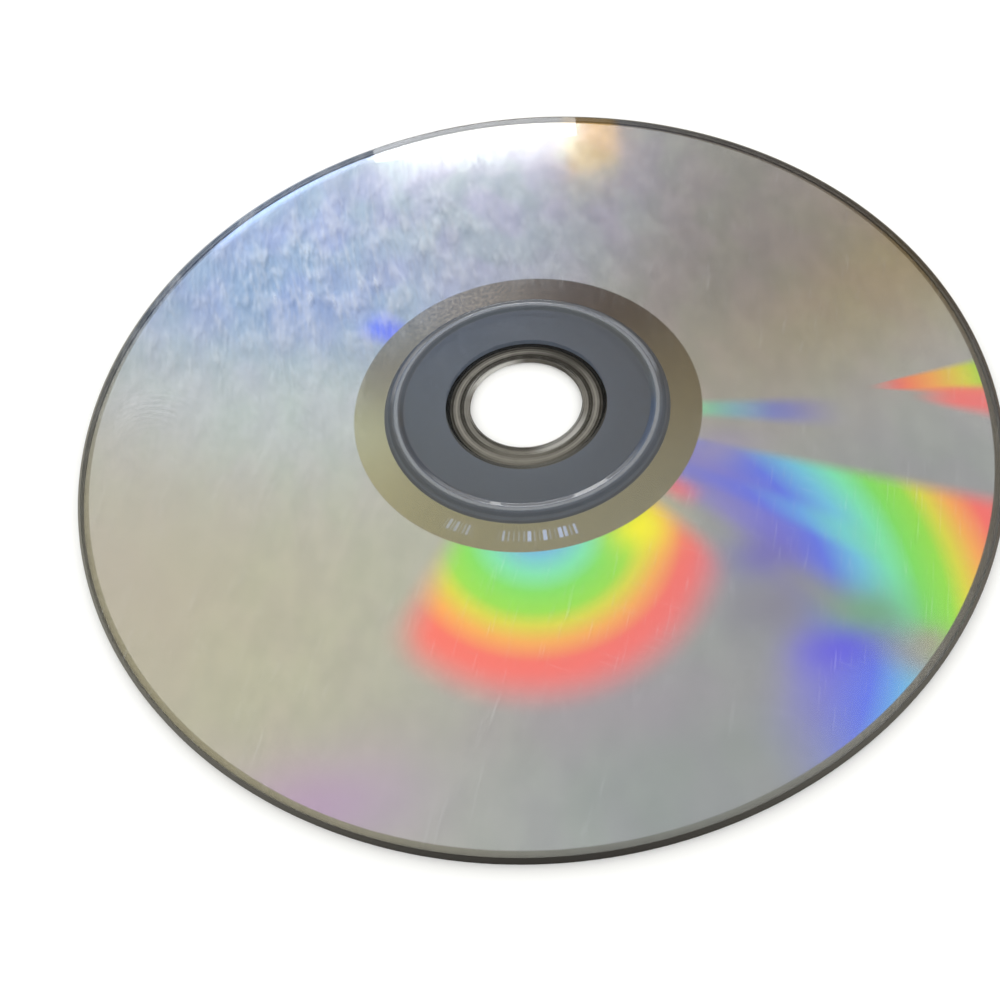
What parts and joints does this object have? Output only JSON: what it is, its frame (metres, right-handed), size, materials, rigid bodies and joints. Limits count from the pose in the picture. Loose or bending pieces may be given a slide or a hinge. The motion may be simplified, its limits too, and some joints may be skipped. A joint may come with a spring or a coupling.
{
  "type": "installation disc",
  "caption": "Flat round optical disc with a centre hole, a raised stacking bead, a mirror film under clear plastic and a printed underside.",
  "frame": {"origin": "on the axis of the centre hole, in the plane that the printed underside rests on", "axes": "+Z along the hole's axis, out of the read side; +X to the right and +Y away from the viewer in the picture"},
  "size_m": [0.12, 0.12, 0.0014],
  "materials": {
    "clear_plastic": "clear moulded polycarbonate, glossy, with fine scratches",
    "mirror_film": "vapour-deposited film, mirror bright, with rainbow colours from the data tracks",
    "label_print": "slate-grey print in clear lacquer, satin"
  },
  "bodies": {
    "root": {"clear_disc": "clear_plastic", "mirror_film": "mirror_film", "label_coat": "label_print"}
  },
  "joints": []
}
